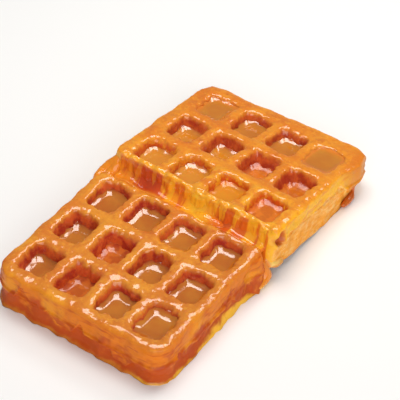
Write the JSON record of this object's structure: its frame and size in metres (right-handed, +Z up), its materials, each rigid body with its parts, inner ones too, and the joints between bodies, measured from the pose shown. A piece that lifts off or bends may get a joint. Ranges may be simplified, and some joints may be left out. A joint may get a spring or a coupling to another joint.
{
  "type": "waffle",
  "caption": "Deep-pocketed rectangular waffle cut across into two halves, one leaning on the other, with caramel pooled in its pockets and bonding the cut.",
  "frame": {"origin": "bottom centre of the whole waffle's bounding box, on the surface it rests on", "axes": "+X across the waffle, +Y along it from the flat front half to the raised rear half, +Z up"},
  "size_m": [0.112, 0.1918, 0.0348],
  "materials": {
    "crust": "baked batter, golden orange under a thin glossy caramel glaze, dark red-brown in the pockets",
    "caramel": "set caramel, glossy amber brown"
  },
  "bodies": {
    "root": {"waffle_half_front": "crust", "waffle_half_rear": "crust", "caramel_front_1_1": "caramel", "caramel_front_1_2": "caramel", "caramel_front_1_3": "caramel", "caramel_front_1_4": "caramel", "caramel_front_2_1": "caramel", "caramel_front_2_2": "caramel", "caramel_front_2_3": "caramel", "caramel_front_2_4": "caramel", "caramel_front_3_1": "caramel", "caramel_front_3_2": "caramel", "caramel_front_3_3": "caramel", "caramel_front_3_4": "caramel", "caramel_rear_1_1": "caramel", "caramel_rear_1_2": "caramel", "caramel_rear_1_3": "caramel", "caramel_rear_1_4": "caramel", "caramel_rear_2_1": "caramel", "caramel_rear_2_2": "caramel", "caramel_rear_2_3": "caramel", "caramel_rear_2_4": "caramel", "caramel_rear_3_1": "caramel", "caramel_rear_3_2": "caramel", "caramel_rear_3_3": "caramel", "caramel_rear_3_4": "caramel", "caramel_join": "caramel"}
  },
  "joints": []
}
